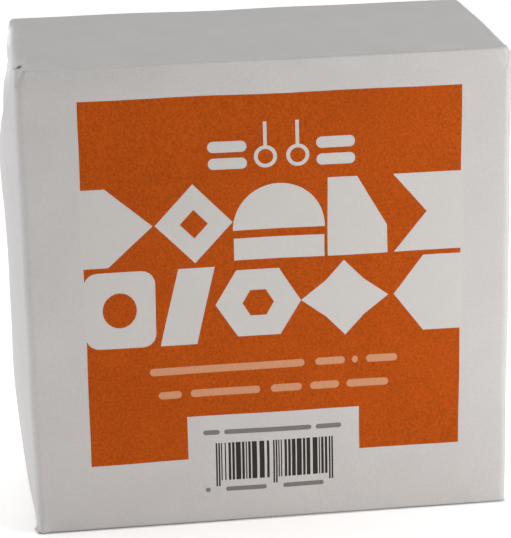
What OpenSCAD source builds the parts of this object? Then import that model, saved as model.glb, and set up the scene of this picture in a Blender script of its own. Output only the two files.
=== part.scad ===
// Gymnastics chalk block in its paper wrapper: a pressed cake of magnesium carbonate
// inside one sheet of paper, folded into a sleeve round it, lapped and glued at the back,
// and closed at both ends with envelope folds.
// X runs along the printed face, Y from the printed face to the back, and Z is up.
// The origin is at the middle of the footprint. All sizes are in millimetres.

/* [Pack] */
// Width of the wrapped block, from end to end
pack_w = 76; // [66:1:90]
// Depth of the wrapped block, from the printed face to the back
pack_d = 37.4; // [36:0.2:44]
// Height of the wrapped block
pack_h = 76; // [66:1:90]

/* [Paper] */
// Thickness of the wrapping paper
paper_t = 0.15; // [0.12:0.01:0.18]
// Air between two folded layers
layer_gap = 0.15; // [0.12:0.01:0.18]
// Outside radius of the creases round the cake
crease_r = 2; // [1.6:0.1:2.4]

/* [End folds] */
// Width of the strip where the back flap lies under the front flap
flap_overlap = 4.6; // [3:0.2:6]
// How far the top and bottom tucks reach over an end
tuck_depth = 16.5; // [10:0.5:16.5]
// How fast a tuck narrows: millimetres a side for each millimetre of depth
tuck_taper = 0.85; // [0.8:0.01:0.9]

/* [Back seam] */
// Height of the lap that stands up inside the back panel
lap_h = 13; // [11:0.5:20]
// Height of the glue line on the lap
seam_glue_h = 6; // [3:0.5:7]

/* [Cake] */
// Loose room left between the cake and the puffed left end
left_room = 1.5; // [0.5:0.1:2]

/* [Hidden] */
$fn = 48;
SIDES = ["left", "right"];

// Layers on an end, counted inwards from the outermost one
front_flap_layer = 0;
front_gusset_layer = 1;
back_flap_layer = 2;
back_gusset_layer = 3;
tuck_layer = 4;
layer_pitch = paper_t + layer_gap;

// A panel is narrower than the pack by the layers that lie over its own end flap
front_w = pack_w - 2 * front_flap_layer * layer_pitch;
back_w = pack_w - 2 * back_flap_layer * layer_pitch;
tuck_w = pack_w - 2 * tuck_layer * layer_pitch;

// Half the depth and the lowest and highest points of the flat part of an end
end_half = pack_d / 2 - crease_r;
end_low = crease_r;
end_high = pack_h - crease_r;

// How far the front and back flaps reach over an end, and the height of their free edges
flap_reach = end_half + flap_overlap / 2;
free_edge_h = end_high - end_low - 2 * flap_reach;

// The lap lies one layer inside the back panel
lap_y = pack_d / 2 - layer_pitch;
lap_half = tuck_w / 2 - crease_r;

// The cake clears the innermost layers all round
cake_gap = 0.15;
cake_left = -pack_w / 2 + tuck_layer * layer_pitch + paper_t + left_room + cake_gap;
cake_right = pack_w / 2 - tuck_layer * layer_pitch - paper_t - cake_gap;
cake_front = -pack_d / 2 + paper_t + cake_gap;
cake_back = lap_y - paper_t - cake_gap;
cake_low = paper_t + 0.05;
cake_high = pack_h - paper_t - cake_gap;
cake_r = crease_r - paper_t - cake_gap;

// Trim that keeps a folded-under layer inside the outline of the layer over it
fold_inset = 0.4;
// Glue fills two thirds of the gap that it lies in
glue_share = 2 / 3;
seam_glue_half = lap_half - 4;
seam_glue_low = end_low + lap_h - seam_glue_h - 3;
// A glue dab on an end flap sits in the strip where the two flaps overlap
dab_w = flap_overlap * 0.6;
dab_h = free_edge_h * 0.65;
dab_t = glue_share * (2 * layer_pitch - paper_t);

paper = [0.77, 0.75, 0.73];
printed = [0.78, 0.38, 0.15];
chalk = [0.95, 0.95, 0.93];
glue = [0.85, 0.78, 0.6];

// A rectangle with quarter-round corners, centred on the origin
module rounded_rect(w, h, r) {
    square([w - 2 * r, h], center = true);
    square([w, h - 2 * r], center = true);
    for (x = [-1, 1], y = [-1, 1])
        translate([x * (w / 2 - r), y * (h / 2 - r)])
            circle(r);
}

// A box centred on the origin with every edge rounded
module rounded_box(w, d, h, r) {
    intersection() {
        linear_extrude(h, center = true) rounded_rect(w, d, r);
        rotate([90, 0, 0]) linear_extrude(d, center = true) rounded_rect(w, h, r);
        rotate([90, 0, 90]) linear_extrude(w, center = true) rounded_rect(d, h, r);
    }
}

// A paper skin w wide round the cake, from the printed face back to back_y
module paper_skin(w, back_y) {
    d = back_y + pack_d / 2;
    translate([0, back_y - d / 2, pack_h / 2])
        difference() {
            rounded_box(w, d, pack_h, crease_r);
            rounded_box(w - 2 * paper_t, d - 2 * paper_t, pack_h - 2 * paper_t,
                        crease_r - paper_t);
        }
}

// The part of a skin between two corners of a box
module cut_from_skin(w, back_y, low, high) {
    intersection() {
        paper_skin(w, back_y);
        translate(low) cube(high - low);
    }
}

// A flat piece of paper on an end, drawn in Y and Z, at a layer counted from outside
module end_sheet(side, layer, points, thickness = paper_t) {
    mirror([side == "left" ? 1 : 0, 0, 0])
        translate([pack_w / 2 - layer * layer_pitch - thickness, 0, 0])
            rotate([90, 0, 90])
                linear_extrude(thickness) polygon(points);
}

// A flap with both ends mitred at 45 degrees; toward is 1 when it reaches along +Y
module end_flap(side, layer, toward) {
    end_sheet(side, layer, [
        [-toward * end_half, end_low],
        [-toward * (end_half - flap_reach), end_low + flap_reach],
        [-toward * (end_half - flap_reach), end_high - flap_reach],
        [-toward * end_half, end_high]]);
}

// The two triangles folded in under the mitred ends of a flap
module end_gussets(side, layer, toward) {
    for (corner = [[end_low, 1], [end_high, -1]])
        end_sheet(side, layer, [
            [-toward * (end_half - fold_inset), corner[0] + corner[1] * 2 * fold_inset],
            [-toward * (end_half - flap_reach + fold_inset),
             corner[0] + corner[1] * flap_reach],
            [-toward * (end_half - fold_inset), corner[0] + corner[1] * flap_reach]]);
}

// A tuck that narrows away from its crease; toward is 1 when it reaches along +Z
module end_tuck(side, crease_z, toward) {
    base = end_half - fold_inset;
    tip = base - tuck_taper * tuck_depth;
    end_sheet(side, tuck_layer, [
        [-base, crease_z], [base, crease_z],
        [tip, crease_z + toward * tuck_depth], [-tip, crease_z + toward * tuck_depth]]);
}

// The pressed cake of magnesium carbonate
module chalk_block() {
    color(chalk)
        translate([(cake_left + cake_right) / 2, (cake_front + cake_back) / 2,
                   (cake_low + cake_high) / 2])
            rounded_box(cake_right - cake_left, cake_back - cake_front,
                        cake_high - cake_low, cake_r);
}

// Printed face, with the creases round its four edges
module front_panel() {
    color(printed)
        cut_from_skin(front_w, pack_d / 2, [-front_w / 2, -pack_d / 2, 0],
                      [front_w / 2, -end_half, pack_h]);
}

// Top face, with the creases to the back panel and to the two top tucks
module top_panel() {
    color(paper)
        cut_from_skin(tuck_w, pack_d / 2, [-tuck_w / 2, -end_half, end_high],
                      [tuck_w / 2, pack_d / 2, pack_h]);
}

// Back face, with the creases to its two end flaps; its lower edge is the free one
module back_panel() {
    color(paper)
        cut_from_skin(back_w, pack_d / 2, [-back_w / 2, end_half, end_low],
                      [back_w / 2, pack_d / 2, end_high]);
}

// Bottom face, with the creases to the seam lap and to the two bottom tucks
module bottom_panel() {
    color(paper)
        cut_from_skin(tuck_w, lap_y, [-tuck_w / 2, -end_half, 0],
                      [tuck_w / 2, lap_y, end_low]);
}

// Strip of the sheet that stands up behind the cake, inside the back panel
module seam_lap() {
    color(paper)
        translate([-lap_half, lap_y - paper_t, end_low])
            cube([2 * lap_half, paper_t, lap_h]);
}

// Glue line on the outside of the lap
module seam_glue() {
    color(glue)
        translate([-seam_glue_half, lap_y, seam_glue_low])
            cube([2 * seam_glue_half, glue_share * layer_gap, seam_glue_h]);
}

// Glue dab under the free edge of a front flap, where it covers the back flap
module end_glue(side) {
    color(glue)
        mirror([side == "left" ? 1 : 0, 0, 0])
            translate([pack_w / 2 - paper_t - dab_t, -dab_w / 2, (pack_h - dab_h) / 2])
                cube([dab_t, dab_w, dab_h]);
}

chalk_block();
front_panel();
top_panel();
back_panel();
bottom_panel();
seam_lap();
seam_glue();
for (side = SIDES) {
    color(paper) end_flap(side, front_flap_layer, 1);
    color(paper) end_gussets(side, front_gusset_layer, 1);
    color(paper) end_flap(side, back_flap_layer, -1);
    color(paper) end_gussets(side, back_gusset_layer, -1);
    color(paper) end_tuck(side, end_high, -1);
    color(paper) end_tuck(side, end_low, 1);
    end_glue(side);
}
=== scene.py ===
# Looks for the gymnastics chalk block: one folded sheet of printed paper round a pressed cake.
# Sizes are in millimetres until a mesh is made. X runs along the printed face, Y from the
# printed face to the back, and Z is up.
import math
import random

import bpy
import numpy as np
from mathutils import Matrix, Vector
from mathutils.geometry import delaunay_2d_cdt


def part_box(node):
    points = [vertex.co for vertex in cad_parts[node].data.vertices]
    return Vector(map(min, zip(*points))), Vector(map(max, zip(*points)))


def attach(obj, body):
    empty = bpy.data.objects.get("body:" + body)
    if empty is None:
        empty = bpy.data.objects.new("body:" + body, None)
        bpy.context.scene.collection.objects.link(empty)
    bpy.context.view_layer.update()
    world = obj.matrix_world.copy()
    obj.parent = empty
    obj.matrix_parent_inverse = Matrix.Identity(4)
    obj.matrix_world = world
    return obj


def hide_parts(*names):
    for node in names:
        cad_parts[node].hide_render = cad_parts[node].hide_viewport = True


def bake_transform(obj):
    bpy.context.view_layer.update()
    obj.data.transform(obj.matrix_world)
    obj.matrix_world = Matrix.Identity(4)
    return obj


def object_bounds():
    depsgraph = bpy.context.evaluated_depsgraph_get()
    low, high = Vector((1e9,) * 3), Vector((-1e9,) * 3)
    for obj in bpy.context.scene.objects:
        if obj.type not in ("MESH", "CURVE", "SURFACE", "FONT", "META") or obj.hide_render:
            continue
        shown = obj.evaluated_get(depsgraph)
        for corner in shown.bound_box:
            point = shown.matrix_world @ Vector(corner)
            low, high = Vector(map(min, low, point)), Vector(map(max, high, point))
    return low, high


MM = 0.001
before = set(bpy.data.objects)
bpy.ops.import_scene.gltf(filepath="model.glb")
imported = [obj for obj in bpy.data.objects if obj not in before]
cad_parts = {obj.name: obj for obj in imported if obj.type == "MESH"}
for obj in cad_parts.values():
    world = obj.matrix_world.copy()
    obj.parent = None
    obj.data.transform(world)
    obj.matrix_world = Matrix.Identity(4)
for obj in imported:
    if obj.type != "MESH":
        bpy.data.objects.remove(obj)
CAD_LOW, CAD_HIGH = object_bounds()

# ---------------------------------------------------------------- sizes from the frame
HALF_W = CAD_HIGH.x / MM
HALF_D = CAD_HIGH.y / MM
HEIGHT = CAD_HIGH.z / MM
MID_Z = HEIGHT / 2


def edges(node):
    """Lowest and highest corner of a CAD node, in millimetres."""
    low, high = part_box(node)
    return np.array(low) / MM, np.array(high) / MM


FRONT_LOW, _ = edges("front_panel")
_, TOP_HIGH = edges("top_panel")
BACK_LOW, BACK_HIGH = edges("back_panel")
_, BOTTOM_HIGH = edges("bottom_panel")
LAP_LOW, LAP_HIGH = edges("seam_lap")
FLAP_LOW, FLAP_HIGH = edges("right_front_flap")
TUCK_LOW, TUCK_HIGH = edges("right_top_tuck")
CAKE_LOW, CAKE_HIGH = edges("chalk_block")
PAPER = FLAP_HIGH[0] - FLAP_LOW[0]
END_HALF = -FLAP_LOW[1]          # the hinge lines of the end flaps lie at y = -/+ this
END_LOW, END_HIGH = FLAP_LOW[2], FLAP_HIGH[2]
CREASE = END_LOW                 # depth of a panel's edge, from its face to its hinge line
REACH = FLAP_HIGH[1] - FLAP_LOW[1]
BACK_GAP = FLAP_LOW[0] - BACK_HIGH[0]

# ---------------------------------------------------------------- how the paper lies
# how far in from the widest point each edge of the pack starts to turn
ROUND_LEFT, ROUND_RIGHT = 1.0, 1.15
ROUND_TOP, ROUND_BOTTOM, ROUND_BACK = 0.3, 0.35, 0.45
ROUND_DEPTH = 0.55               # how deep the long panels turn down at an end

BEND = 1.2                       # a crease takes this much of the moving sheet to turn
FLAP_BEND = 2.4                  # and more on a loose end flap, which turns back on itself
BEND_STEP = 0.16                 # grid lines are this close where the paper bends
MITRE_LIFT = {-1: 0.12, 1: 0.03}     # how far a front flap stands up at its mitres, by side
MITRE_FADE = 2.5                 # and how far from a mitre that dies away
SETTLE = 0.28                    # the front flap's free edge lies down on the back flap
SETTLE_FROM, SETTLE_TO = 10, 4   # between these distances from that edge
SETTLE_SHARE, SETTLE_REST = 0.3, 0.7     # a mitre settles by the first share alone
SETTLE_NEAR, SETTLE_FAR = 2, 7   # and the rest comes in between these distances from it
TUCK_RISE = 0.5                  # the tucks stand out under the front flap, which lies higher
TUCK_TAPER = 0.85                # how fast a tuck narrows, as in the CAD
CURL_DEPTH = PAPER * 3           # a mitre folds under to this depth
CURL_STEPS = 6

# slow waves over the whole pack, and short ripples that grow towards the knocked corner
WAVE_COUNT, WAVE_SIZE = 14, 0.025
WAVE_SHORT, WAVE_LONG = 11.0, 38.0
RIPPLE_COUNT, RIPPLE_SIZE = 10, 0.005
RIPPLE_SHORT, RIPPLE_LONG = 3.0, 7.0
RIPPLE_PLAIN, RIPPLE_CORNER, CORNER_FADE = 0.6, 3.5, 12

# the loose paper of an end stands out from the cake, less so near the top and the floor
PUFF_LEFT, PUFF_RIGHT = 2.88, 0.45
PUFF_FROM, PUFF_TO = 8, 2        # it grows between these distances from the end
PUFF_POWER = 0.8
PUFF_AT_TOP, PUFF_BELOW_TOP, PUFF_TOP_RUN = 0.18, 0.82, 3.6
PUFF_LOW, PUFF_LOW_RUN = 0.69, 1.2
PUFF_HIGH, PUFF_HIGH_FROM, PUFF_HIGH_TO = 0.31, 4, 31

RIGHT_PUSH, RIGHT_LEAN = 0.3, 0.5    # the right edge of the front stands out, more at the top
TOP_RISE, TOP_RISE_LEFT = 0.5, 0.25  # the top is higher at the back, most of all at the left
WORN_RUN, WORN_DROP = 1.9, 0.9       # and turns down early at its worn left edge
LAP_SHOWS = 0.11                     # the lap shows through the back panel


def smooth(low, high, x):
    """0 below low, 1 above high, and smooth between them."""
    t = np.clip((x - low) / (high - low), 0, 1)
    return t * t * (3 - 2 * t)


def make_waves(seed, count, short, long):
    """Seeded sine waves in random directions, as (wave vectors, push directions, phases)."""
    draw = random.Random(seed)
    vectors, pushes, phases = [], [], []
    for _ in range(count):
        d = Vector([draw.gauss(0, 1) for _ in range(3)]).normalized()
        vectors.append(d * (2 * math.pi / draw.uniform(short, long)))
        pushes.append(Vector([draw.gauss(0, 1) for _ in range(3)]).normalized())
        phases.append(draw.uniform(0, 2 * math.pi))
    return np.array(vectors), np.array(pushes), np.array(phases)


WAVES = make_waves(7, WAVE_COUNT, WAVE_SHORT, WAVE_LONG)
RIPPLES = make_waves(19, RIPPLE_COUNT, RIPPLE_SHORT, RIPPLE_LONG)


def wave_field(p, waves, size):
    """The sum of the waves at each point."""
    vectors, pushes, phases = waves
    return size * np.sin(p @ vectors.T + phases) @ pushes


def to_segment(p, a, b):
    """Distance of each point from the line between a and b."""
    a, b = np.array(a), np.array(b)
    d = b - a
    t = np.clip(((p - a) @ d) / (d @ d), 0, 1)
    return np.linalg.norm(p - (a + t[:, None] * d), axis=1)


# Dents and ridges: (from, to, width, push). The left top corner took a knock, whose pit leans
# back under the top, and the right one has fine wrinkles. A dog-ear of the tuck shows at the
# bottom left, and the corner there is squarer. L, F and T are the left, front and top.
L, F, T = -HALF_W, -HALF_D, HEIGHT
MARKS = [
    ((L + 0.75, F + 2.6, T), (L + 0.95, F + 3.6, T), 0.46, (0.15, 1.1, -1.5)),
    ((L + 0.25, F + 4.9, T - 0.2), (L + 0.25, F + 5.3, T - 0.1), 0.3, (0.5, 0, -0.7)),
    ((L + 1.3, F + 3.6, T), (L + 3.0, F + 9.5, T), 0.36, (-0.05, 0, 0.16)),
    ((L + 0.25, F + 6.5, T - 0.3), (L + 1.2, F + 4.2, T), 0.3, (-0.1, 0, 0.16)),
    ((L + 1.1, F + 0.1, T - 0.1), (L + 0.2, F + 0.2, T - 2.4), 0.32, (0.1, 0.24, 0)),
    ((L + 3.0, F, T), (L + 20.0, F, T), 2.4, (0, 0.14, -0.12)),
    ((-L - 0.7, F + 0.2, T - 0.9), (-L - 0.9, F, T - 3.0), 0.24, (0, 0.15, 0)),
    ((-L - 1.7, F, T - 0.5), (-L - 1.5, F, T - 2.2), 0.3, (0, 0.1, 0)),
    ((L + 0.05, F + 1.0, 0.3), (L + 0.05, F + 1.4, 0.3), 0.34, (-0.75, 0, 0)),
    ((L + 0.3, F + 0.1, 0), (L + 0.3, F + 0.1, 1.5), 1.0, (-0.1, -0.3, 0)),
]


def puff(p):
    """How far the loose paper at the ends stands out from the cake."""
    v = np.clip((p[:, 1] + HALF_D) / (2 * HALF_D), 0, 1)
    z = np.clip(p[:, 2], 0, HEIGHT)
    across = np.sin(math.pi * v) ** PUFF_POWER
    from_top = PUFF_AT_TOP + PUFF_BELOW_TOP * (1 - np.exp(-(HEIGHT - z) / PUFF_TOP_RUN))
    from_floor = (PUFF_LOW * (1 - np.exp(-z / PUFF_LOW_RUN))
                  + PUFF_HIGH * smooth(PUFF_HIGH_FROM, PUFF_HIGH_TO, z))
    side = smooth(HALF_W - PUFF_FROM, HALF_W - PUFF_TO, np.abs(p[:, 0]))
    size = np.where(p[:, 0] < 0, -PUFF_LEFT, PUFF_RIGHT)
    return size * side * across * from_top * from_floor


def right_edge(p):
    """How far the right edge of the front stands out, and the flap's crease with it."""
    wide = smooth(HALF_W - 7, HALF_W, p[:, 0]) * (1 - smooth(-HALF_D + 4, HALF_D, p[:, 1]))
    wide *= 1 - 0.85 * smooth(HEIGHT - 1.4, HEIGHT, p[:, 2])
    return wide * (RIGHT_PUSH + RIGHT_LEAN * p[:, 2] / HEIGHT)


def raised_top(p):
    """How much higher the top stands towards the back."""
    high = smooth(MID_Z, HEIGHT, p[:, 2]) * smooth(-HALF_D, HALF_D, p[:, 1])
    return high * (TOP_RISE + TOP_RISE_LEFT * smooth(0, -HALF_W, p[:, 0]))


def worn_edge(p):
    """How far the top has turned down at its left edge, clear of its two corners."""
    worn = np.clip((-p[:, 0] - HALF_W + WORN_RUN) / WORN_RUN, 0, 1) ** 2
    worn *= smooth(F + 1.5, F + 6, p[:, 1])
    worn *= 1 - smooth(HALF_D - 6, HALF_D - 0.5, p[:, 1])
    return WORN_DROP * worn * smooth(HEIGHT - 2.2, HEIGHT, p[:, 2])


def over_lap(p):
    """How far the back panel stands out over the lap."""
    back = (p[:, 1] > HALF_D - 0.1) * (1 - smooth(LAP_HIGH[2] - 0.4, LAP_HIGH[2] + 0.5, p[:, 2]))
    return LAP_SHOWS * back * (1 - smooth(LAP_HIGH[0] - 0.4, LAP_HIGH[0] + 0.4, np.abs(p[:, 0])))


def warp(p):
    """Where a point of the ideal pack lies on the real one. All pieces share it, so they meet."""
    q = p + wave_field(p, WAVES, WAVE_SIZE)
    corner = np.exp(-np.linalg.norm(p - (L, F, T), axis=1) / CORNER_FADE)
    q += wave_field(p, RIPPLES, RIPPLE_SIZE) * (RIPPLE_PLAIN + RIPPLE_CORNER * corner)[:, None]
    for a, b, width, push in MARKS:
        near = np.exp(-((to_segment(p, a, b) / width) ** 2))
        q += near[:, None] * np.array(push)
    q[:, 0] += puff(p)
    q[:, 0] += right_edge(p)
    q[:, 2] += raised_top(p)
    q[:, 2] -= worn_edge(p)
    q[:, 1] += over_lap(p)
    # nothing sinks into the floor
    q[:, 2] = p[:, 2] + (q[:, 2] - p[:, 2]) * smooth(0, 6, p[:, 2])
    return q


# ---------------------------------------------------------------- building sheets
def grid(us, vs):
    """Points (n, 2) of a rectangular grid and its quads, anticlockwise."""
    us, vs = np.array(us, float), np.array(vs, float)
    uv = np.array([(u, v) for v in vs for u in us])
    n = len(us)
    quads = [(j * n + i, j * n + i + 1, (j + 1) * n + i + 1, (j + 1) * n + i)
             for j in range(len(vs) - 1) for i in range(n - 1)]
    return uv, quads


def normals_of(surface, uv, step=0.01):
    """Unit normals of a surface by small differences, so that shading runs over the joints."""
    du = surface(uv + (step, 0)) - surface(uv - (step, 0))
    dv = surface(uv + (0, step)) - surface(uv - (0, step))
    n = np.cross(du, dv)
    return n / np.maximum(np.linalg.norm(n, axis=1), 1e-12)[:, None]


def add_object(name, data):
    """A new object in the scene."""
    obj = bpy.data.objects.new(name, data)
    bpy.context.scene.collection.objects.link(obj)
    return obj


def add_mesh(name, points, faces, loop_normals, face_materials, materials):
    """A smooth object from points in millimetres, with its own normals if they are given."""
    mesh = bpy.data.meshes.new(name)
    mesh.from_pydata([tuple(p) for p in points * MM], [], faces)
    for m in materials:
        mesh.materials.append(m)
    mesh.polygons.foreach_set("material_index", np.array(face_materials, np.int32))
    mesh.polygons.foreach_set("use_smooth", [True] * len(mesh.polygons))
    mesh.update()
    if loop_normals is not None:
        mesh.normals_split_custom_set([tuple(n) for n in loop_normals])
    return add_object(name, mesh)


def place(obj, body, nodes):
    """The piece rides on a body and stands for CAD nodes, which are hidden."""
    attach(obj, body)
    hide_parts(*nodes)


def hinge(obj, nodes):
    """A sheet whose place is baked into its mesh, standing for CAD nodes, which are hidden."""
    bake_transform(obj)
    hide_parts(*nodes)


def spread(low, high, step):
    """Evenly spaced values from low to high, about a step apart."""
    count = max(1, round((high - low) / step))
    return [low + (high - low) * i / count for i in range(count + 1)]


def near_crease(length, step, bend=BEND):
    """Grid lines from a crease outwards, close together where the paper bends."""
    return spread(0, bend, BEND_STEP) + spread(bend, length, step)[1:]


def turned(faces, offset=0):
    """The faces seen from their other side, with their points counted on by an offset."""
    return [tuple(i + offset for i in reversed(f)) for f in faces]


def closed(name, outer, n, faces, materials, inks=None, shaded=True):
    """A surface, a copy one paper thickness behind it, and a rim that joins their free edges."""
    count = len(outer)
    points = np.vstack([outer, outer - n * PAPER])
    directed = {(f[i], f[(i + 1) % len(f)]) for f in faces for i in range(len(f))}
    rims = [(b, a, a + count, b + count) for a, b in sorted(directed) if (b, a) not in directed]
    under = turned(faces, count)
    loops = None
    if shaded:
        loops = [n[i] for f in faces for i in f] + [-n[i - count] for f in under for i in f]
        for a, b, c, d in rims:
            out = np.cross(points[c] - points[a], points[d] - points[b])
            loops += [out / max(np.linalg.norm(out), 1e-12)] * 4
    inks = [PAPER_INK] * len(faces) if inks is None else list(inks)
    inks += [INSIDE_INK] * (len(under) + len(rims))
    return add_mesh(name, points, faces + under + rims, loops, inks, materials)


def sheet(name, surface, uv, faces, flip, materials, inks=None):
    """A sheet whose outside is this surface. Flip one whose own normals face the cake."""
    n = normals_of(surface, uv)
    if flip:
        n = -n
        faces = turned(faces)
    return closed(name, surface(uv), n, faces, materials, inks)


class Edge:
    """How one side of a panel ends: its place, its rounding, and its run to the hinge line."""

    def __init__(self, at, inward=0.0, depth=0.0, sink=0.0):
        self.flat = at - inward
        self.inward, self.depth, self.sink = inward, depth, sink
        self.arc = (inward + depth) / 2 * math.pi / 2
        self.lip = CREASE - depth if inward else 0.0
        self.end = self.flat + self.arc + self.lip

    def progress(self, x):
        """0 on the flat, 1 at the end of the rounding and 2 at the hinge line."""
        e = np.maximum(x - self.flat, 0)
        if not self.inward:
            return np.zeros_like(e)
        return np.where(e < self.arc, e / self.arc, 1 + (e - self.arc) / self.lip)

    def stops(self, start, step, near_step, near):
        """Grid lines from start out to this edge, closer together within near of it."""
        reach = self.flat - start
        near = min(near, reach)
        far = max(1, round((reach - near) / step))
        close = max(1, round(near / near_step))
        xs = [start + (reach - near) * i / far for i in range(far)]
        xs += [start + reach - near + near * i / close for i in range(close + 1)]
        if self.inward:
            xs += [self.flat + self.arc * i / 6 for i in range(1, 7)]
            xs += [self.flat + self.arc + self.lip * i / 3 for i in range(1, 4)]
        return xs


def panel_surface(origin, s_dir, t_dir, n_dir, low_s, high_s, low_t, high_t):
    """The surface of a face of the pack with its rounded edges, in developed coordinates."""
    origin, s_dir, t_dir, n_dir = (np.array(v, float) for v in (origin, s_dir, t_dir, n_dir))

    def surface(uv):
        s, t = uv[:, 0], uv[:, 1]
        es = np.where(s < 0, low_s.progress(-s), high_s.progress(s))
        et = np.where(t < 0, low_t.progress(-t), high_t.progress(t))
        pick_s = lambda key: np.where(s < 0, getattr(low_s, key), getattr(high_s, key))
        pick_t = lambda key: np.where(t < 0, getattr(low_t, key), getattr(high_t, key))
        m = np.maximum(es, et)
        phi = np.arctan2(et, es + 1e-12)
        cos_p, sin_p = np.cos(phi), np.sin(phi)
        mix = lambda key: cos_p ** 2 * pick_s(key) + sin_p ** 2 * pick_t(key)
        theta = np.minimum(m, 1) * math.pi / 2
        run = np.maximum(m - 1, 0)
        flat_s = np.where(es > 0, np.sign(s) * pick_s("flat"), s)
        flat_t = np.where(et > 0, np.sign(t) * pick_t("flat"), t)
        out = np.sin(theta)
        ds = np.sign(s) * cos_p * (pick_s("inward") * out - mix("sink") * run) * (es > 0)
        dt = np.sign(t) * sin_p * (pick_t("inward") * out - mix("sink") * run) * (et > 0)
        down = mix("depth") * (1 - np.cos(theta)) + mix("lip") * run
        p = (origin + (flat_s + ds)[:, None] * s_dir + (flat_t + dt)[:, None] * t_dir
             - down[:, None] * n_dir)
        return warp(p)
    return surface


def panel_stops(low, high, step=1.4, low_near=(0.7, 4.0), high_near=(0.7, 4.0)):
    """Grid lines across a panel. Each near is a closer step and how far in it is used."""
    below = [-x for x in reversed(low.stops(0, step, *low_near))]
    return below + high.stops(0, step, *high_near)[1:]


def end_edge(side, layer_sink=0.0):
    """The rounded edge of a panel at an end, which then slants in to its own flap's layer."""
    return Edge(HALF_W, ROUND_LEFT if side < 0 else ROUND_RIGHT, ROUND_DEPTH, layer_sink)


# ---------------------------------------------------------------- materials
def srgb(r, g, b):
    """Linear colour of an sRGB one given from 0 to 255."""
    return tuple((c / 255 / 12.92) if c <= 10 else ((c / 255 + 0.055) / 1.055) ** 2.4
                 for c in (r, g, b)) + (1.0,)


class Nodes:
    """A short way to build a Principled material."""

    def __init__(self, name, roughness, specular=0.3):
        self.material = bpy.data.materials.new(name)
        self.material.use_nodes = True
        self.tree = self.material.node_tree
        self.shader = self.tree.nodes["Principled BSDF"]
        self.shader.inputs["Roughness"].default_value = roughness
        self.shader.inputs["Specular IOR Level"].default_value = specular
        self.coords = self.add("ShaderNodeTexCoord").outputs["Object"]

    def add(self, kind, **inputs):
        node = self.tree.nodes.new(kind)
        for key, value in inputs.items():
            node.inputs[key].default_value = value
        return node

    def link(self, a, b):
        self.tree.links.new(a, b)

    def noise(self, millimetres, detail, stretch=(1, 1, 1), rough=0.55):
        """Noise whose features are about this many millimetres across."""
        mapping = self.add("ShaderNodeMapping")
        mapping.inputs["Scale"].default_value = stretch
        self.link(self.coords, mapping.inputs["Vector"])
        node = self.add("ShaderNodeTexNoise", Scale=1 / (millimetres * MM), Detail=detail,
                        Roughness=rough)
        self.link(mapping.outputs["Vector"], node.inputs["Vector"])
        return node.outputs["Fac"]

    def ramp(self, value, *stops):
        """A colour ramp through (place, colour) stops."""
        node = self.add("ShaderNodeValToRGB")
        ramp = node.color_ramp
        while len(ramp.elements) < len(stops):
            ramp.elements.new(0.5)
        for element, (at, colour) in zip(ramp.elements, stops):
            element.position = at
            element.color = colour
        self.link(value, node.inputs["Fac"])
        return node.outputs["Color"]

    def vector(self, operation, a, b=None):
        """A vector operation on a socket, and on a constant where it takes two."""
        node = self.add("ShaderNodeVectorMath")
        node.operation = operation
        self.link(a, node.inputs[0])
        if b is not None:
            node.inputs[1].default_value = b
        return node.outputs["Value" if operation == "LENGTH" else "Vector"]

    def span(self, value, low, high, at_low, at_high):
        """A value carried from one range to another."""
        node = self.add("ShaderNodeMapRange")
        self.link(value, node.inputs["Value"])
        for key, v in (("From Min", low), ("From Max", high), ("To Min", at_low),
                       ("To Max", at_high)):
            node.inputs[key].default_value = v
        return node.outputs["Result"]

    def mix(self, a, b, factor, blend="MIX"):
        """Two colours mixed; each input is a socket or a constant."""
        node = self.tree.nodes.new("ShaderNodeMix")
        node.data_type = "RGBA"
        node.blend_type = blend
        for socket, value in ((node.inputs[6], a), (node.inputs[7], b), (node.inputs[0], factor)):
            if isinstance(value, bpy.types.NodeSocket):
                self.link(value, socket)
            else:
                socket.default_value = value
        return node.outputs[2]

    def colour(self, socket):
        self.link(socket, self.shader.inputs["Base Color"])

    def bump(self, height, distance, under=None):
        """A bump this many millimetres high, over another one if it is given."""
        node = self.add("ShaderNodeBump", Strength=1.0, Distance=distance * MM)
        self.link(height, node.inputs["Height"])
        if under is not None:
            self.link(under, node.inputs["Normal"])
        return node.outputs["Normal"]

    def finish(self, normal=None):
        if normal is not None:
            self.link(normal, self.shader.inputs["Normal"])
        return self.material


LINE_IN = 0.12                   # the darkened crease line, wear and painted shade, lies this far in from the front and the top
LINE_CORE, LINE_RIM = 0.1, 0.34  # it fades between these distances from its middle
LINE_FROM, LINE_TO, LINE_FAINT = -24, 16, 0.15   # and to this faintness at the left
FLOOR_GLOW = 0.41                # the floor glows clear of the pack, but not under it
GLOW_FROM, GLOW_TO = 0.1, 0.6


def grey(v):
    return (v, v, v, 1.0)


def paper_bump(n, fibre=0.012, tooth=0.02):
    """Fine fibres over the soft tooth of the sheet."""
    soft = n.bump(n.noise(0.9, 2.0), tooth)
    return n.bump(n.noise(0.16, 2.0, (1, 1, 0.45)), fibre, under=soft)


def crease_shade_and_wear(n):
    """A darker line along the crease between the front and the top, fading to the left: partly wear
    of the creased fibres, partly painted shade of the crease.
    """
    middle = (0, (LINE_IN - HALF_D) * MM, (HEIGHT - LINE_IN) * MM)
    across = n.vector("MULTIPLY", n.vector("SUBTRACT", n.coords, middle), (0, 1, 1))
    near = n.span(n.vector("LENGTH", across), LINE_CORE * MM, LINE_RIM * MM, 1, 0)
    split = n.add("ShaderNodeSeparateXYZ")
    n.link(n.coords, split.inputs[0])
    along = n.span(split.outputs["X"], LINE_FROM * MM, LINE_TO * MM, LINE_FAINT, 1)
    both = n.add("ShaderNodeMath")
    both.operation = "MULTIPLY"
    n.link(near, both.inputs[0])
    n.link(along, both.inputs[1])
    return both.outputs[0]


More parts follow.
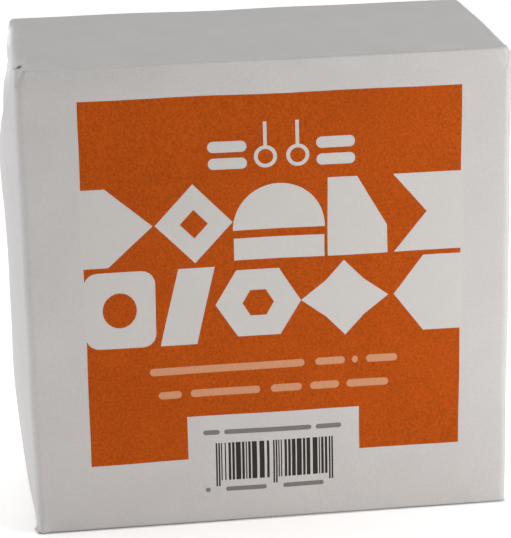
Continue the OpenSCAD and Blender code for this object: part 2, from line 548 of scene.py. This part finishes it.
def paper_material(name, base, roughness, specular):
    """Off-white paper: faint clouding, fibre flecks and a fine tooth."""
    n = Nodes(name, roughness, specular)
    darker = tuple(c * 0.975 for c in base[:3]) + (1.0,)
    lighter = tuple(min(1, c * 1.025) for c in base[:3]) + (1.0,)
    cloud = n.ramp(n.noise(7.0, 4.0), (0.3, darker), (0.7, lighter))
    grain = n.ramp(n.noise(0.22, 3.0, (1, 1, 0.5)), (0.25, grey(0.86)), (0.75, grey(1.0)))
    body = n.mix(cloud, grain, 0.8, "MULTIPLY")
    # the paper is darkened along the front-top crease: painted crease shade together with wear
    n.colour(n.mix(body, grey(0.86), crease_shade_and_wear(n), "MULTIPLY"))
    return n.finish(paper_bump(n))


def ink_material(name, base, mottle, roughness=0.62, specular=0.12):
    """Ink on paper: the fine mottle of the print, soft cloudiness and pinholes."""
    n = Nodes(name, roughness, specular)
    shade = lambda k, lift=0.0: tuple(min(1, c * k + lift) for c in base[:3]) + (1.0,)
    cloud = n.ramp(n.noise(9.0, 4.0), (0.3, shade(1 - mottle * 0.2)), (0.7, shade(1 + mottle * 0.2)))
    grain = n.ramp(n.noise(0.4, 3.0), (0.28, grey(1 - mottle * 1.6)), (0.72, grey(1.0)))
    body = n.mix(cloud, grain, 1.0, "MULTIPLY")
    holes = n.ramp(n.noise(0.3, 2.0), (0.70, grey(0.0)), (0.82, grey(0.35)))
    n.colour(n.mix(body, shade(1.0, 0.16), holes))
    return n.finish(paper_bump(n, 0.008, 0.012))


def chalk_material():
    """Pressed magnesium carbonate: matte, powdery, faintly clouded."""
    n = Nodes("pressed_chalk", 0.95, 0.1)
    cloud = n.ramp(n.noise(6.0, 6.0, rough=0.65), (0.3, srgb(228, 228, 222)),
                   (0.7, srgb(243, 243, 240)))
    pits = n.ramp(n.noise(0.7, 5.0, rough=0.7), (0.3, grey(0.86)), (0.5, grey(1.0)))
    n.colour(n.mix(cloud, pits, 0.8, "MULTIPLY"))
    soft = n.bump(n.noise(2.5, 5.0, rough=0.7), 0.12)
    return n.finish(n.bump(n.noise(0.35, 5.0, rough=0.75), 0.05, under=soft))


def glue_material():
    """Dried paste: translucent-looking, uneven and a little glossy."""
    n = Nodes("glue", 0.38, 0.5)
    n.colour(n.ramp(n.noise(1.6, 4.0), (0.3, srgb(196, 178, 134)), (0.7, srgb(222, 208, 170))))
    return n.finish(n.bump(n.noise(1.0, 4.0), 0.04))


def floor_material():
    """A plain pale floor, bright enough to read as white."""
    n = Nodes("floor", 0.9, 0.0)
    n.shader.inputs["Base Color"].default_value = (0.93, 0.93, 0.93, 1)
    n.shader.inputs["Emission Color"].default_value = (1.0, 0.95, 0.925, 1)
    # the glow starts clear of the footprint, so that the pack has a thin contact shadow
    past = n.vector("SUBTRACT", n.vector("ABSOLUTE", n.coords), (HALF_W * MM, HALF_D * MM, 0))
    clear = n.vector("MAXIMUM", past, (0, 0, 0))
    glow = n.span(n.vector("LENGTH", clear), GLOW_FROM * MM, GLOW_TO * MM, 0, FLOOR_GLOW)
    n.link(glow, n.shader.inputs["Emission Strength"])
    return n.finish()


PAPER_MAT = paper_material("wrapping_paper", srgb(207, 203, 200), 0.5, 0.3)
INSIDE_MAT = paper_material("paper_inside", srgb(203, 199, 193), 0.72, 0.15)
ORANGE_MAT = ink_material("orange_print", (0.565, 0.094, 0.006, 1.0), 0.25, 0.7, 0.06)
PALE_MAT = ink_material("unprinted_shapes", srgb(206, 202, 198), 0.03, 0.5, 0.3)
FAINT_MAT = ink_material("faint_print", srgb(212, 150, 112), 0.05)
DARK_MAT = ink_material("dark_print", srgb(56, 49, 44), 0.10)
SOFT_MAT = ink_material("soft_print", srgb(128, 123, 120), 0.06)
CHALK_MAT = chalk_material()
GLUE_MAT = glue_material()
PRINT_MATS = [PAPER_MAT, INSIDE_MAT, ORANGE_MAT, PALE_MAT, FAINT_MAT, DARK_MAT, SOFT_MAT]
PAPER_INK, INSIDE_INK, ORANGE, PALE, FAINT, DARK, SOFT = range(7)
PLAIN_MATS = [PAPER_MAT, INSIDE_MAT]

# ---------------------------------------------------------------- the print
# Places on the face are (across, up) in millimetres from its lower left corner.


def rect(x0, y0, x1, y1, slant=0.0):
    """A box whose top is moved across by the slant."""
    return [(x0, y0), (x1, y0), (x1 + slant, y1), (x0 + slant, y1)]


def ngon(cx, cy, rx, ry, count):
    """A many-sided shape with a corner at its right."""
    return [(cx + rx * math.cos(2 * math.pi * i / count),
             cy + ry * math.sin(2 * math.pi * i / count)) for i in range(count)]


def half_disc(cx, cy, r, count):
    """The upper half of a disc."""
    angles = [math.radians(180 * i / count) for i in range(count + 1)]
    return [(cx + r * math.cos(a), cy + r * math.sin(a)) for a in angles]


def round_rect(x0, y0, x1, y1, r, count=5):
    """A box with round corners of count sides each."""
    out = []
    for cx, cy, a in ((x1 - r, y1 - r, 0), (x0 + r, y1 - r, 90), (x0 + r, y0 + r, 180),
                      (x1 - r, y0 + r, 270)):
        out += [(cx + r * math.cos(math.radians(a + 90 * i / count)),
                 cy + r * math.sin(math.radians(a + 90 * i / count))) for i in range(count + 1)]
    return out


def star4(cx, cy, rx, ry, waist):
    """A diamond whose sides are drawn in to a waist."""
    return [(cx + rx, cy), (cx + waist, cy + waist), (cx, cy + ry), (cx - waist, cy + waist),
            (cx - rx, cy), (cx - waist, cy - waist), (cx, cy - ry), (cx + waist, cy - waist)]


def banner():
    """Two rows of chunky plain shapes where the real pack has its headline."""
    shapes = []
    y0, y1 = 44.0, 56.7
    mid, half = (y0 + y1) / 2, (y1 - y0) / 2
    shapes.append([(8.8, y0), (12.8, y0), (20.0, mid), (12.8, y1), (8.8, y1)])
    shapes.append(ngon(26.4, mid, 6.1, half, 4))
    shapes.append(half_disc(39.8, y0 + 4.9, 7.3, 30))
    shapes.append(rect(32.6, y0, 47.0, y0 + 3.6))
    shapes.append([(47.5, y0), (56.9, y0), (56.9, 48.6), (52.2, y1), (47.5, y1)])
    shapes.append([(57.9, y0), (69.1, y0), (69.1, y1), (57.9, y1), (63.2, mid)])
    y0, y1 = 30.6, 43.2
    mid, half = (y0 + y1) / 2, (y1 - y0) / 2
    shapes.append(round_rect(8.8, y0, 20.0, y1, 2.2))
    shapes.append(rect(20.6, y0, 26.4, y1, 3.1))
    shapes.append(ngon(36.3, mid, 6.8, half, 6))
    shapes.append(star4(50.0, mid, 6.9, half, 3.0))
    shapes.append([(57.8, mid), (62.6, y0), (68.9, y0), (68.9, y1), (62.6, y1)])
    holes = [ngon(14.3, mid, 2.7, 2.9, 24), ngon(36.3, mid, 2.5, 2.4, 6),
             ngon(26.4, 50.35, 2.2, 2.3, 4)]
    return [(s, PALE) for s in shapes] + [(h, ORANGE) for h in holes]


def rings_mark():
    """A plain mark of two gymnastics rings on their straps, between two pairs of round bars."""
    out = []
    for cx in (37.9, 42.9):
        out.append((ngon(cx, 60.6, 1.8, 1.8, 28), PALE))
        out.append((ngon(cx, 60.6, 1.2, 1.2, 28), ORANGE))
        out.append((rect(cx - 0.28, 62.3, cx + 0.28, 66.2), PALE))
    for x0, x1 in ((28.9, 35.0), (45.8, 51.9)):
        out.append((round_rect(x0, 61.5, x1, 63.3, 0.85), PALE))
        out.append((round_rect(x0, 58.8, x1, 60.6, 0.85), PALE))
    return out


def word_bars(words, y, height, ink):
    """Rounded bars that stand for words."""
    return [(round_rect(a, y - height / 2, b, y + height / 2, height / 2 - 0.01, 4), ink)
            for a, b in words]


def stripes():
    """An invented row of upright bars that says nothing, with longer pairs as guards."""
    draw = random.Random(31)
    module, low, high, long = 0.2, 7.15, 13.5, 6.15
    out = []
    for guard in (28.75, 38.0, 47.1):
        out += [(rect(x, long, x + 0.27, high), DARK) for x in (guard, guard + 0.42)]
    for start, stop in ((29.6, 37.8), (38.85, 46.95)):
        x = start
        while x < stop:
            wide = min(module * draw.choice((1, 2, 2, 3, 4)), stop - x)
            out.append((rect(x, low, x + wide, high), DARK))
            x += wide + module * draw.choice((1, 1, 1, 2, 2))
    for a, b in ((27.0, 27.8), (30.3, 36.9), (39.6, 46.2)):
        out.append((round_rect(a, 5.25, b, 6.0, 0.3, 3), SOFT))
    return out


def artwork():
    """Every printed outline as (points, ink), in painting order."""
    panel = [(8.8, 10.95), (24.3, 11.0), (24.3, 18.3), (52.1, 18.3), (52.1, 11.0), (68.4, 11.0),
             (68.8, 70.4), (9.15, 70.7)]
    out = [(panel, ORANGE)] + banner() + rings_mark()
    out += word_bars(((18.7, 43.4), (45.1, 49.9), (51.0, 52.0), (53.3, 58.4)), 26.3, 1.25, FAINT)
    out += word_bars(((19.9, 23.6), (25.0, 36.2), (37.9, 42.9), (44.2, 48.9), (50.1, 56.9)),
                     22.3, 1.25, FAINT)
    out += word_bars(((26.8, 29.5), (30.2, 44.3), (45.0, 49.2)), 15.35, 0.8, SOFT)
    return out + stripes()


def inside(points, loop):
    """Which points lie in a closed loop."""
    x, y = points[:, 0], points[:, 1]
    hit = np.zeros(len(points), bool)
    for (x0, y0), (x1, y1) in zip(loop, loop[1:] + loop[:1]):
        if y0 == y1:
            continue
        crosses = (y0 > y) != (y1 > y)
        hit ^= crosses & (x < (x1 - x0) * (y - y0) / (y1 - y0) + x0)
    return hit


def densify(loop, step):
    """The loop with no side longer than step, so that it follows the paper."""
    out = []
    for a, b in zip(loop, loop[1:] + loop[:1]):
        n = max(1, math.ceil(math.dist(a, b) / step))
        out += [(a[0] + (b[0] - a[0]) * i / n, a[1] + (b[1] - a[1]) * i / n) for i in range(n)]
    return out


def printed_mesh(stops_s, stops_t):
    """Triangles of the developed front panel, cut along every printed outline, and inks."""
    points = [Vector((s, t)) for t in stops_t for s in stops_s]
    lines = []
    art = [([(x - HALF_W, y - MID_Z) for x, y in loop], ink) for loop, ink in artwork()]
    for loop, _ in art:
        fine = densify(loop, 1.5)
        start = len(points)
        points += [Vector(p) for p in fine]
        lines += [(start + i, start + (i + 1) % len(fine)) for i in range(len(fine))]
    made = delaunay_2d_cdt(points, lines, [], 0, 1e-5, False)
    uv = np.array([tuple(v) for v in made[0]])
    faces = [tuple(f) for f in made[2]]
    centres = np.array([uv[list(f)].mean(0) for f in faces])
    inks = np.full(len(faces), PAPER_INK)
    for loop, ink in art:
        inks[inside(centres, loop)] = ink
    area = lambda f: np.cross(uv[f[1]] - uv[f[0]], uv[f[2]] - uv[f[0]])
    faces = [f if area(f) > 0 else tuple(reversed(f)) for f in faces]
    return uv, faces, inks


# ---------------------------------------------------------------- panels
def front_panel():
    """The printed face. At each end it turns down as far as it turns in."""
    left, right = end_edge(-1), end_edge(1)
    bottom = Edge(MID_Z, ROUND_BOTTOM, ROUND_BOTTOM)
    top = Edge(MID_Z, ROUND_TOP, ROUND_TOP)
    left.depth, right.depth = ROUND_LEFT, ROUND_RIGHT
    left.lip, right.lip = CREASE - left.depth, CREASE - right.depth
    surface = panel_surface((0, FRONT_LOW[1], MID_Z), (1, 0, 0), (0, 0, 1), (0, -1, 0),
                            left, right, bottom, top)
    uv, faces, inks = printed_mesh(panel_stops(left, right, 1.2, (0.35, 5), (0.5, 5)),
                                   panel_stops(bottom, top, 1.2, (0.7, 3), (0.35, 5)))
    obj = sheet("printed_front", surface, uv, faces, False, PRINT_MATS, inks)
    place(obj, "sleeve", ["front_panel"])


def flat_panel(name, origin, s_dir, t_dir, n_dir, sides, close_low=False, close_high=False):
    """One plain face of the pack; close_low and close_high have a crease at that t edge."""
    surface = panel_surface(origin, s_dir, t_dir, n_dir, *sides)
    ts = panel_stops(sides[2], sides[3])
    rows = spread(0, BEND, BEND_STEP)[1:]
    if close_low:
        ts = [ts[0]] + [ts[0] + x for x in rows] + [t for t in ts if t > ts[0] + BEND + 0.1]
    if close_high:
        ts = [t for t in ts if t < ts[-1] - BEND - 0.1] + [ts[-1] - x for x in reversed(rows)] + [
            ts[-1]]
    uv, faces = grid(panel_stops(sides[0], sides[1]), ts)
    return sheet(name, surface, uv, faces, False, PLAIN_MATS)


def plain_panels():
    """The top, back and bottom, whose ends sink to the layer of their own flaps."""
    tuck_sink = HALF_W - TOP_HIGH[0]
    back_sink = HALF_W - BACK_HIGH[0]
    # top: flat from the front hinge line, rounded at the back
    top = flat_panel("top_sheet", (0, 0, HEIGHT), (1, 0, 0), (0, 1, 0), (0, 0, 1),
                     (end_edge(-1, tuck_sink), end_edge(1, tuck_sink), Edge(END_HALF),
                      Edge(HALF_D, ROUND_BACK, ROUND_BACK)), close_low=True)
    hinge(top, ["top_panel"])
    # back: flat at its top hinge line and at its free lower edge
    back = flat_panel("back_sheet", (0, HALF_D, MID_Z), (-1, 0, 0), (0, 0, 1),
                      (0, 1, 0), (end_edge(1, back_sink), end_edge(-1, back_sink),
                                  Edge(MID_Z - BACK_LOW[2]), Edge(BACK_HIGH[2] - MID_Z)),
                      close_high=True)
    hinge(back, ["back_panel"])
    # bottom: flat from the front hinge line, rounded up to the lap
    bottom = flat_panel("bottom_sheet", (0, 0, 0), (-1, 0, 0), (0, 1, 0),
                        (0, 0, -1), (end_edge(1, tuck_sink), end_edge(-1, tuck_sink),
                                     Edge(END_HALF), Edge(BOTTOM_HIGH[1], ROUND_BOTTOM,
                                                          ROUND_BOTTOM)))
    place(bottom, "sleeve", ["bottom_panel"])


def lap():
    """The strip of the sheet that stands up behind the cake."""
    def surface(uv):
        return warp(np.column_stack([-uv[:, 0], np.full(len(uv), LAP_HIGH[1]), uv[:, 1]]))

    up = [LAP_LOW[2] + z for z in near_crease(LAP_HIGH[2] - LAP_LOW[2], 1.0)]
    uv, faces = grid(spread(LAP_LOW[0], LAP_HIGH[0], 1.6), up)
    obj = sheet("seam_lap_sheet", surface, uv, faces, False, PLAIN_MATS)
    hinge(obj, ["seam_lap"])


# ---------------------------------------------------------------- end folds
def mitre_distance(y, z, toward):
    """Distance inwards from the nearer 45 degree edge of a flap."""
    run = toward * y + END_HALF
    return (MID_Z - END_LOW - run - np.abs(z - MID_Z)) / math.sqrt(2)


def settled(settle, run, mitre):
    """How far a flap sinks on to the one under it: at its free edge, but less at the mitres."""
    share = SETTLE_SHARE + SETTLE_REST * smooth(SETTLE_NEAR, SETTLE_FAR, mitre)
    return settle * smooth(REACH - SETTLE_FROM, REACH - SETTLE_TO, run) * share


def flap_rise(lift, settle, run, mitre):
    """How high a flap stands: lifted at its mitres, and settled at its free edge."""
    return lift * np.exp(-mitre / MITRE_FADE) * smooth(0, 4, run) - settled(settle, run, mitre)


def end_flap(side, layer_x, toward, lift, settle, node, name):
    """A flap with its two mitred ends folded under in a tight curl."""
    radius = CURL_DEPTH / 2
    half = MID_Z - END_LOW

    def surface(uv):
        u, w = uv[:, 0], uv[:, 1]
        flat = np.clip(w, -1, 1)
        sign = np.sign(w)
        turn = np.clip(np.abs(w) - 1, 0, 1) * math.pi
        out = radius * np.sin(turn) / math.sqrt(2)
        y = toward * (-END_HALF + u + out)
        z = MID_Z + flat * (half - u) + sign * out
        mitre = np.maximum(mitre_distance(y, z, toward), 0)
        rise = flap_rise(lift, settle, u, mitre)
        x = side * (layer_x - radius * (1 - np.cos(turn)) + rise)
        return warp(np.column_stack([x, y, z]))

    us = near_crease(REACH, 0.9, FLAP_BEND)
    curl = [1 + i / CURL_STEPS for i in range(1, CURL_STEPS + 1)]
    edge = [1 - k for k in (0.01, 0.03, 0.06)]
    ws = spread(-0.9, 0.9, 0.055)
    ws = [-x for x in reversed(curl)] + [-1] + [-x for x in edge] + ws + edge[::-1] + [1] + curl
    uv, faces = grid(us, ws)
    obj = sheet(name, surface, uv, faces, side * toward < 0, PLAIN_MATS)
    hinge(obj,
          [node])


GUSSET_TRIM, GUSSET_TIP = 0.3, 0.4   # gussets stop this short of the creases and of the tip


def end_gussets(side, layer_x, toward, lift, settle, body, node, name):
    """The two triangles folded in under a flap, joined to its curls, clear of where it bends."""
    half = MID_Z - END_LOW
    start = FLAP_BEND - 0.2

    def surface(uv):
        # u runs along the hinge line from the corner, and w from the mitre to the far edge
        u, w = np.abs(uv[:, 0]), uv[:, 1]
        sign = np.sign(uv[:, 0])
        reach = start + u * (REACH - GUSSET_TIP - start)
        y = toward * (-END_HALF + GUSSET_TRIM + start + (reach - start) * (1 - w))
        z = MID_Z + sign * (half - GUSSET_TRIM - reach)
        mitre = np.maximum(mitre_distance(y, z, toward), 0)
        rise = flap_rise(lift, settle, toward * y + END_HALF, mitre)
        return warp(np.column_stack([side * (layer_x - CURL_DEPTH + rise), y, z]))

    points_uv, all_faces = [], []
    for sign in (-1, 1):
        uv, faces = grid([sign * x for x in spread(0.03, 1, 0.055)], spread(0, 1, 0.07))
        offset = sum(len(part) for part in points_uv)
        points_uv.append(uv)
        faces = turned(faces) if sign > 0 else faces
        all_faces += [tuple(i + offset for i in f) for f in faces]
    obj = gusset_sheet(name, surface(np.vstack(points_uv)), all_faces, side)
    place(obj, body, [node])


def gusset_sheet(name, inward, faces, side):
    """A folded-under sheet: its printed side faces the cake, and its thickness goes outwards."""
    n = np.array((-side, 0.0, 0.0))
    facing = [np.cross(inward[f[1]] - inward[f[0]], inward[f[2]] - inward[f[0]]) @ n
              for f in faces]
    faces = [f if a > 0 else tuple(reversed(f)) for f, a in zip(faces, facing)]
    return closed(name, inward, n, faces, PLAIN_MATS, shaded=False)


def end_tuck(side, toward, node, name):
    """A tuck that narrows from its crease, under the flaps."""
    layer_x, base = TUCK_HIGH[:2]
    depth = TUCK_HIGH[2] - TUCK_LOW[2]
    tip = base - TUCK_TAPER * depth
    crease = END_HIGH if toward < 0 else END_LOW

    def surface(uv):
        half = base + (tip - base) * uv[:, 1] / depth
        y = uv[:, 0] * half
        z = crease + toward * uv[:, 1]
        rise = TUCK_RISE * (1 - smooth(-4, 0, y)) * smooth(0, 3, uv[:, 1])
        return warp(np.column_stack([side * (layer_x + rise), y, z]))

    uv, faces = grid(spread(-1, 1, 0.05), near_crease(depth, 1.0))
    obj = sheet(name, surface, uv, faces, side * toward < 0, PLAIN_MATS)
    hinge(obj,
          [node])


DAB_POINTS, DAB_RINGS = 96, 7
DAB_SIZE, DAB_ROUGH, DAB_SQUARE = 0.93, 0.014, 6
DAB_DOME, DAB_RIM, DAB_TOP = 0.92, 0.04, 0.96    # shares of half its thickness


def dab_points(centre, half, flat_axis, seed):
    """Both faces of a dab, each as rings of points from the middle out, and then the middle."""
    draw = random.Random(seed)
    wobble = [(k, draw.uniform(0, 6.3), draw.uniform(0.2, 1.0)) for k in (2, 3, 5, 8, 13)]
    u_axis, v_axis = [a for a in range(3) if a != flat_axis]
    points = []
    for sign in (1, -1):
        for r in range(1, DAB_RINGS + 1):
            share = r / DAB_RINGS
            for i in range(DAB_POINTS):
                a = 2 * math.pi * i / DAB_POINTS
                rough = DAB_SIZE + DAB_ROUGH * sum(g * math.sin(k * a + p) for k, p, g in wobble)
                c, s = math.cos(a), math.sin(a)
                squash = (abs(c) ** DAB_SQUARE + abs(s) ** DAB_SQUARE) ** (-1 / DAB_SQUARE)
                p = centre.copy()
                p[u_axis] += half[u_axis] * share * rough * squash * c
                p[v_axis] += half[v_axis] * share * rough * squash * s
                dome = DAB_DOME * math.sqrt(1 - share ** 8) + DAB_RIM
                p[flat_axis] += sign * half[flat_axis] * dome
                points.append(p)
        p = centre.copy()
        p[flat_axis] += sign * half[flat_axis] * DAB_TOP
        points.append(p)
    return np.array(points)


def dab_faces():
    """The fan and rings of each face of a dab, and the quads round its rim."""
    block = DAB_RINGS * DAB_POINTS + 1
    faces = []
    for base in (0, block):
        found = []
        for i in range(DAB_POINTS):
            j = (i + 1) % DAB_POINTS
            found.append((base + block - 1, base + i, base + j))
            found += [(base + r * DAB_POINTS + i, base + (r + 1) * DAB_POINTS + i,
                       base + (r + 1) * DAB_POINTS + j, base + r * DAB_POINTS + j)
                      for r in range(DAB_RINGS - 1)]
        faces += turned(found) if base else found
    rim = (DAB_RINGS - 1) * DAB_POINTS
    return faces + [(rim + i, block + rim + i, block + rim + (i + 1) % DAB_POINTS,
                     rim + (i + 1) % DAB_POINTS) for i in range(DAB_POINTS)]


def glue_dab(name, body, node, flat_axis, seed):
    """A dried dab of glue with an uneven outline, thinner at its edge."""
    low, high = edges(node)
    centre, half = (low + high) / 2, (high - low) / 2
    if flat_axis == 0:
        # on an end it fills the gap that is left where the front flap has settled
        half[0] = (BACK_GAP - SETTLE) / 2
        centre[0] = math.copysign(BACK_HIGH[0] + half[0], centre[0])
    points = warp(dab_points(centre, half, flat_axis, seed))
    faces = turned(dab_faces()) if flat_axis == 1 else dab_faces()
    obj = add_mesh(name, points, faces, None, [0] * len(faces), [GLUE_MAT])
    place(obj, body, [node])


def end_folds():
    """Everything on the two ends. MITRE_LIFT and SETTLE are for the front flaps alone."""
    for side, label in ((-1, "left"), (1, "right")):
        outer, inner = label + "_outer", label + "_inner"
        for toward, x, lift, settle, body, flap in (
                (1, HALF_W, MITRE_LIFT[side], SETTLE, outer, "front"),
                (-1, BACK_HIGH[0], 0.0, 0.0, inner, "back")):
            end_flap(side, x, toward, lift, settle, f"{label}_{flap}_flap",
                     f"{label}_{flap}_flap_sheet")
            end_gussets(side, x, toward, lift, settle, body, f"{label}_{flap}_gussets",
                        f"{label}_{flap}_gusset_sheets")
        end_tuck(side, -1, label + "_top_tuck", label + "_top_tuck_sheet")
        end_tuck(side, 1, label + "_bottom_tuck",
                 label + "_bottom_tuck_sheet")
        glue_dab(label + "_glue_dab", outer, label + "_end_glue", 0, 40 + side)


# ---------------------------------------------------------------- the cake
CAKE_ROUND = 1.7
CAKE_STEP, CAKE_ARC = 1.3, 5
CAKE_WORN, CAKE_ROUGH = 0.05, 0.16   # even wear, and uneven wear
CHIP_OVER, CHIP_DEPTH = 0.45, 1.3    # its edges are chipped where two waves meet
CAKE_WAVES = make_waves(53, 16, 2.4, 9.0)


def cake_points(direction_grid):
    """Points on the rounded cake for points on a cube from -1 to 1, worn and chipped."""
    centre, half = (CAKE_LOW + CAKE_HIGH) / 2, (CAKE_HIGH - CAKE_LOW) / 2
    p = direction_grid * half
    core = np.clip(p, -(half - CAKE_ROUND), half - CAKE_ROUND)
    away = p - core
    out = away / np.maximum(np.linalg.norm(away, axis=1), 1e-9)[:, None]
    surface = core + out * CAKE_ROUND
    edge = np.linalg.norm(np.abs(away) > 1e-6, axis=1) > 1.1
    vectors, _, phases = CAKE_WAVES
    rough = np.sin(surface @ vectors.T + phases).mean(1)
    worn = CAKE_WORN + CAKE_ROUGH * np.abs(rough)
    chips = edge * np.maximum(0, np.sin(surface @ vectors[3] + 1) * np.sin(
        surface @ vectors[5] + 2) - CHIP_OVER) * CHIP_DEPTH
    return centre + surface - out * (worn + chips)[:, None]


def cake():
    """The pressed cake, as six grids that share their edges."""
    sizes = CAKE_HIGH - CAKE_LOW
    index, points, faces = {}, [], []

    def vertex(p):
        key = tuple(np.round(p, 6))
        if key not in index:
            index[key] = len(points)
            points.append(key)
        return index[key]

    def lines(axis):
        half = sizes[axis] / 2
        flat = spread(-(half - CAKE_ROUND), half - CAKE_ROUND, CAKE_STEP)
        arc = [half - CAKE_ROUND * (1 - math.sin(math.pi / 2 * i / CAKE_ARC))
               for i in range(1, CAKE_ARC + 1)]
        return [x / half for x in [-a for a in reversed(arc)] + flat + arc]

    for axis in range(3):
        u, v = (axis + 1) % 3, (axis + 2) % 3
        us, vs = lines(u), lines(v)
        for sign in (-1, 1):
            ids = np.empty((len(us), len(vs)), int)
            for i, a in enumerate(us):
                for j, b in enumerate(vs):
                    p = np.zeros(3)
                    p[axis], p[u], p[v] = sign, a, b
                    ids[i, j] = vertex(p)
            for i in range(len(us) - 1):
                for j in range(len(vs) - 1):
                    q = (ids[i, j], ids[i + 1, j], ids[i + 1, j + 1], ids[i, j + 1])
                    faces.append(tuple(int(x) for x in (q if sign > 0 else reversed(q))))
    points = cake_points(np.array(points))
    obj = add_mesh("pressed_cake", points, faces, None, [0] * len(faces), [CHALK_MAT])
    place(obj, "cake", ["chalk_block"])


# ---------------------------------------------------------------- floor, lights and camera
AIM = (0, 0, MID_Z * MM)
WHITE = (1, 1, 1)
# name, place, aim, size in metres, watts and colour
LIGHTS = [
    ("top", (0.0, 0.15, 1.0), AIM, (0.7, 0.7), 7.0, (0.975, 1, 1.005)),
    ("left", (-0.9, 0.10, 0.12), AIM, (0.5, 0.3), 3.5, (0.945, 1.0, 1.07)),
    ("right", (0.16, -0.12, 0.05), AIM, (0.09, 0.09), 0.118, WHITE),
    ("low", (0.01, -0.13, 0.012), (0, -0.02, 0), (0.12, 0.02), 0.010, WHITE),
    ("right_high", (0.20, -0.10, 0.16), AIM, (0.12, 0.12), 0.13, WHITE),
    ("rear", (-0.05, 0.9, 0.03), (0, 0, 0.03), (0.6, 0.06), 3.0, WHITE),
]
WORLD_COLOUR, WORLD_STRENGTH = (0.97, 0.985, 1.0, 1), 0.05
FLOOR_HALF, FLOOR_DROP = 3.0, 0.00005

CAMERA_TURN = (6.64, -17.43, -1.38)      # yaw, pitch and roll in degrees
CAMERA_PLACE = (-0.041, -4.507, 1.996)   # from the front's lower left corner, in pack widths
LENS, SENSOR, LENS_SHIFT = 154.2, 36, (-0.0097, -0.0117)


def floor():
    """A wide square just under the pack."""
    size, z = FLOOR_HALF, CAD_LOW.z - FLOOR_DROP
    mesh = bpy.data.meshes.new("floor")
    mesh.from_pydata([(-size, -size, z), (size, -size, z), (size, size, z), (-size, size, z)],
                     [], [(0, 1, 2, 3)])
    mesh.materials.append(floor_material())
    obj = add_object("floor", mesh)


def area_light(name, place_at, aim, size, power, colour):
    """A rectangular light that faces its aim."""
    light = bpy.data.lights.new(name, "AREA")
    light.shape = "RECTANGLE"
    light.size, light.size_y = size
    light.energy = power
    light.color = colour
    obj = add_object(name, light)
    obj.location = place_at
    obj.rotation_euler = (Vector(aim) - Vector(place_at)).to_track_quat("-Z", "Y").to_euler()


def studio():
    """Soft lights round the pack, and a faint even sky."""
    for light in LIGHTS:
        area_light(*light)
    world = bpy.data.worlds.new("studio")
    world.use_nodes = True
    background = world.node_tree.nodes["Background"]
    background.inputs["Color"].default_value = WORLD_COLOUR
    background.inputs["Strength"].default_value = WORLD_STRENGTH
    bpy.context.scene.world = world
    bpy.context.scene.view_settings.view_transform = "Standard"


def camera():
    """The camera that shows the pack from its upper left, a long way off."""
    yaw, pitch, roll = (math.radians(a) for a in CAMERA_TURN)
    forward = Vector((math.sin(yaw) * math.cos(pitch), math.cos(yaw) * math.cos(pitch),
                      math.sin(pitch)))
    level = Vector((math.cos(yaw), -math.sin(yaw), 0))
    upright = level.cross(forward)
    right = level * math.cos(roll) + upright * math.sin(roll)
    up = right.cross(forward)
    x, y, z = (a * 2 * HALF_W * MM for a in CAMERA_PLACE)
    data = bpy.data.cameras.new("camera")
    data.sensor_width = SENSOR
    data.lens = LENS
    data.shift_x, data.shift_y = LENS_SHIFT
    obj = add_object("camera", data)
    obj.matrix_world = Matrix((
        (right.x, up.x, -forward.x, x - HALF_W * MM),
        (right.y, up.y, -forward.y, y - HALF_D * MM),
        (right.z, up.z, -forward.z, z),
        (0, 0, 0, 1)))
    bpy.context.scene.camera = obj


# ---------------------------------------------------------------- everything
camera()
studio()
floor()
front_panel()
plain_panels()
lap()
end_folds()
glue_dab("seam_glue_bead", "lap", "seam_glue", 1, 77)
cake()
